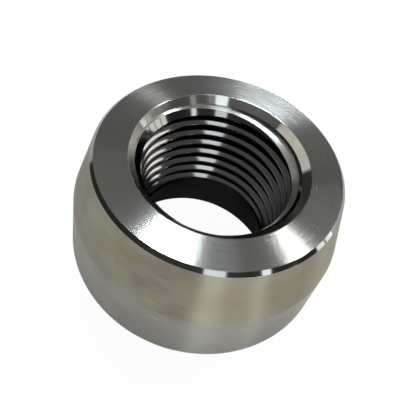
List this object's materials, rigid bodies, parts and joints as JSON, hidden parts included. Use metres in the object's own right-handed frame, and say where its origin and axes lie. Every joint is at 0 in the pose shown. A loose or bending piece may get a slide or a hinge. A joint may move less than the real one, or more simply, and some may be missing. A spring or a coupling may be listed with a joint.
{
  "type": "threaded branch outlet fitting",
  "caption": "Turned stainless steel branch outlet with a tapered outside wall, a countersunk taper-threaded bore and a saddle end for welding onto a run pipe.",
  "frame": {"origin": "on the branch axis, level with the lowest points of the saddle", "axes": "+Z along the branch axis towards the threaded face, Y along the run pipe that the saddle fits"},
  "size_m": [0.035, 0.035, 0.0263],
  "materials": {
    "steel": "turned satin stainless steel with polished chamfers"
  },
  "bodies": {
    "root": {"outlet_body": "steel"}
  },
  "joints": []
}
